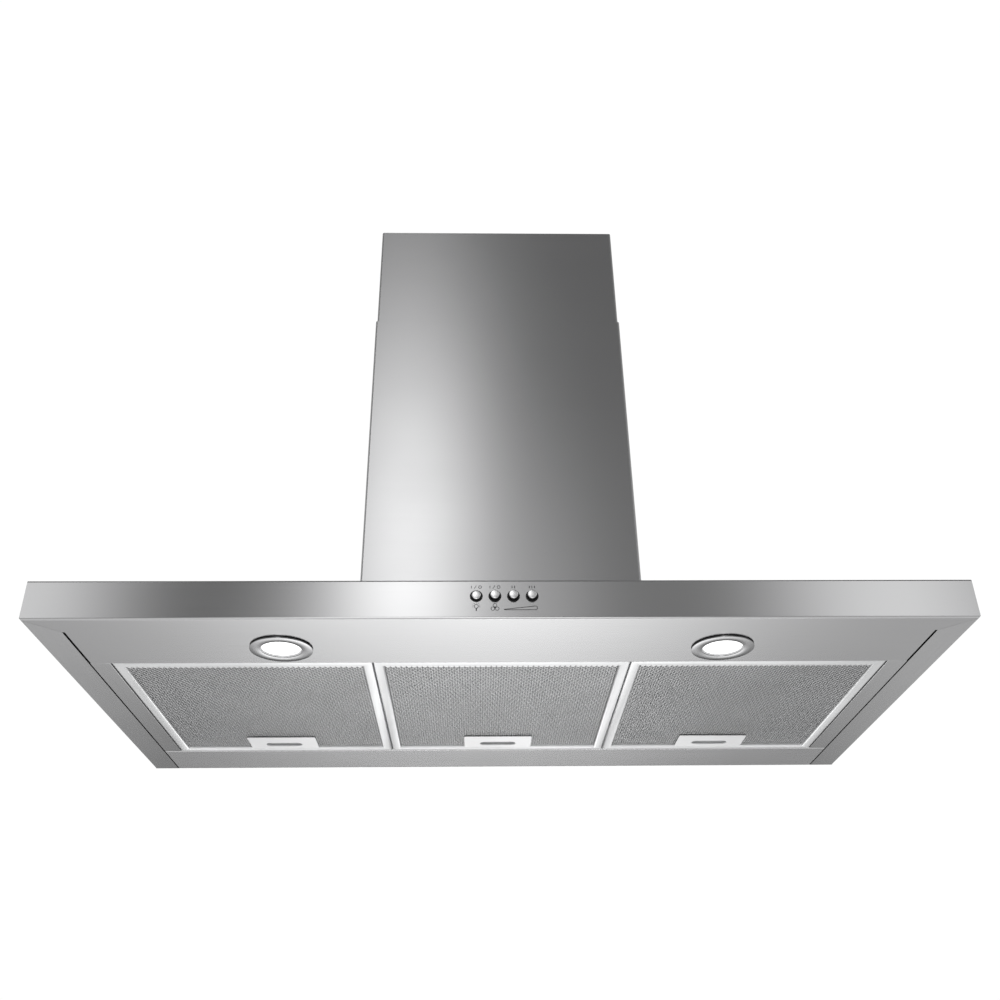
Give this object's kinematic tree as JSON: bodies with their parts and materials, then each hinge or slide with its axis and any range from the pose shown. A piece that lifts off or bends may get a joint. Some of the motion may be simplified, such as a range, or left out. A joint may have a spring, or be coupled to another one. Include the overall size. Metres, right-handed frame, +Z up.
{
  "type": "range hood",
  "caption": "Ceiling-hung kitchen range hood: flat canopy with lamps, push buttons and latched mesh filters under a two-part telescopic chimney cover.",
  "frame": {"origin": "centre of the chimney in the ceiling plane, where the ceiling plate meets the ceiling", "axes": "+Z up into the ceiling, +X along the canopy's width to the right of a person who faces the buttons, so the buttons face -Y"},
  "size_m": [0.9, 0.4907, 0.596],
  "materials": {
    "brushed_steel": "stainless sheet brushed horizontally",
    "zinc_steel": "galvanised steel, matt",
    "aluminium": "satin",
    "filter_mesh": "layers of fine expanded aluminium mesh",
    "chrome": "polished",
    "black_plastic": "fine moulded texture",
    "grey_plastic": "moulded",
    "white_plastic": "moulded",
    "frosted_lens": "frosted, lit from behind"
  },
  "bodies": {
    "ceiling_frame": {"ceiling_plate": "zinc_steel", "upper_post_front_left": "zinc_steel", "upper_post_front_right": "zinc_steel", "upper_post_rear_left": "zinc_steel", "upper_post_rear_right": "zinc_steel"},
    "upper_cover": {"chimney_upper_cover": "brushed_steel"},
    "hood": {"canopy_shell": "brushed_steel", "fascia_panel": "brushed_steel", "side_strip_left": "brushed_steel", "side_strip_right": "brushed_steel", "back_strip": "brushed_steel", "chimney_lower_cover": "brushed_steel", "lower_post_front_left": "zinc_steel", "lower_post_front_right": "zinc_steel", "lower_post_rear_left": "zinc_steel", "lower_post_rear_right": "zinc_steel", "frame_bolt_front_left": "zinc_steel", "frame_bolt_front_right": "zinc_steel", "frame_bolt_rear_left": "zinc_steel", "frame_bolt_rear_right": "zinc_steel", "blower_rail_front": "zinc_steel", "blower_rail_rear": "zinc_steel", "blower_housing_left": "black_plastic", "blower_housing_right": "black_plastic", "blower_motor": "zinc_steel", "motor_bracket": "zinc_steel", "motor_capacitor": "white_plastic", "duct_collar": "black_plastic", "damper_pin": "zinc_steel", "wiring_box": "grey_plastic", "wiring_box_lid": "grey_plastic", "cable_gland": "black_plastic", "lamp_transformer": "white_plastic", "switch_block": "black_plastic", "lamp_ring_left": "chrome", "lamp_ring_right": "chrome", "lamp_lens_left": "frosted_lens", "lamp_lens_right": "frosted_lens", "lamp_housing_left": "aluminium", "lamp_housing_right": "aluminium"},
    "impeller": {"blower_wheel": "grey_plastic", "motor_shaft": "zinc_steel"},
    "flap_front": {"damper_flap_front": "grey_plastic"},
    "flap_rear": {"damper_flap_rear": "grey_plastic"},
    "filter_left": {"filter_frame_left": "aluminium", "filter_mesh_left": "filter_mesh", "latch_spring_left": "zinc_steel"},
    "latch_left": {"filter_latch_left": "aluminium"},
    "filter_centre": {"filter_frame_centre": "aluminium", "filter_mesh_centre": "filter_mesh", "latch_spring_centre": "zinc_steel"},
    "latch_centre": {"filter_latch_centre": "aluminium"},
    "filter_right": {"filter_frame_right": "aluminium", "filter_mesh_right": "filter_mesh", "latch_spring_right": "zinc_steel"},
    "latch_right": {"filter_latch_right": "aluminium"},
    "switch_light": {"button_light": "chrome"},
    "switch_fan_low": {"button_fan_low": "chrome"},
    "switch_fan_medium": {"button_fan_medium": "chrome"},
    "switch_fan_high": {"button_fan_high": "chrome"}
  },
  "joints": [
    {"name": "frame_extension", "type": "slide", "parent": "ceiling_frame", "child": "hood", "axis": [0, 0, -1], "range_m": [0, 0.2]},
    {"name": "upper_cover_slide", "type": "slide", "parent": "ceiling_frame", "child": "upper_cover", "axis": [0, 0, -1], "range_m": [0, 0.145]},
    {"name": "filter_left_drop", "type": "hinge", "parent": "hood", "child": "filter_left", "pos_m": [-0.265, -0.13235, -0.594], "axis": [-1, 0, 0], "range_deg": [0, 75]},
    {"name": "filter_centre_drop", "type": "hinge", "parent": "hood", "child": "filter_centre", "pos_m": [0, -0.13235, -0.594], "axis": [-1, 0, 0], "range_deg": [0, 75]},
    {"name": "filter_right_drop", "type": "hinge", "parent": "hood", "child": "filter_right", "pos_m": [0.265, -0.13235, -0.594], "axis": [-1, 0, 0], "range_deg": [0, 75]},
    {"name": "latch_left_pull", "type": "slide", "parent": "filter_left", "child": "latch_left", "axis": [0, -1, 0], "range_m": [0, 0.006], "stiffness_N_per_m": 500, "deforming": ["latch_spring_left"]},
    {"name": "latch_centre_pull", "type": "slide", "parent": "filter_centre", "child": "latch_centre", "axis": [0, -1, 0], "range_m": [0, 0.006], "stiffness_N_per_m": 500, "deforming": ["latch_spring_centre"]},
    {"name": "latch_right_pull", "type": "slide", "parent": "filter_right", "child": "latch_right", "axis": [0, -1, 0], "range_m": [0, 0.006], "stiffness_N_per_m": 500, "deforming": ["latch_spring_right"]},
    {"name": "button_light_press", "type": "slide", "parent": "hood", "child": "switch_light", "axis": [0, 1, 0], "range_m": [-0.0019, 0.0011], "stiffness_N_per_m": 200},
    {"name": "button_fan_low_press", "type": "slide", "parent": "hood", "child": "switch_fan_low", "axis": [0, 1, 0], "range_m": [0, 0.003], "stiffness_N_per_m": 200},
    {"name": "button_fan_medium_press", "type": "slide", "parent": "hood", "child": "switch_fan_medium", "axis": [0, 1, 0], "range_m": [0, 0.003], "stiffness_N_per_m": 200},
    {"name": "button_fan_high_press", "type": "slide", "parent": "hood", "child": "switch_fan_high", "axis": [0, 1, 0], "range_m": [0, 0.003], "stiffness_N_per_m": 200},
    {"name": "impeller_spin", "type": "hinge", "parent": "hood", "child": "impeller", "pos_m": [0, 0.022, -0.429], "axis": [1, 0, 0], "continuous": true},
    {"name": "flap_front_open", "type": "hinge", "parent": "hood", "child": "flap_front", "pos_m": [0, 0, -0.269], "axis": [-1, 0, 0], "range_deg": [0, 75]},
    {"name": "flap_rear_open", "type": "hinge", "parent": "hood", "child": "flap_rear", "pos_m": [0, 0, -0.269], "axis": [1, 0, 0], "range_deg": [0, 75]}
  ]
}
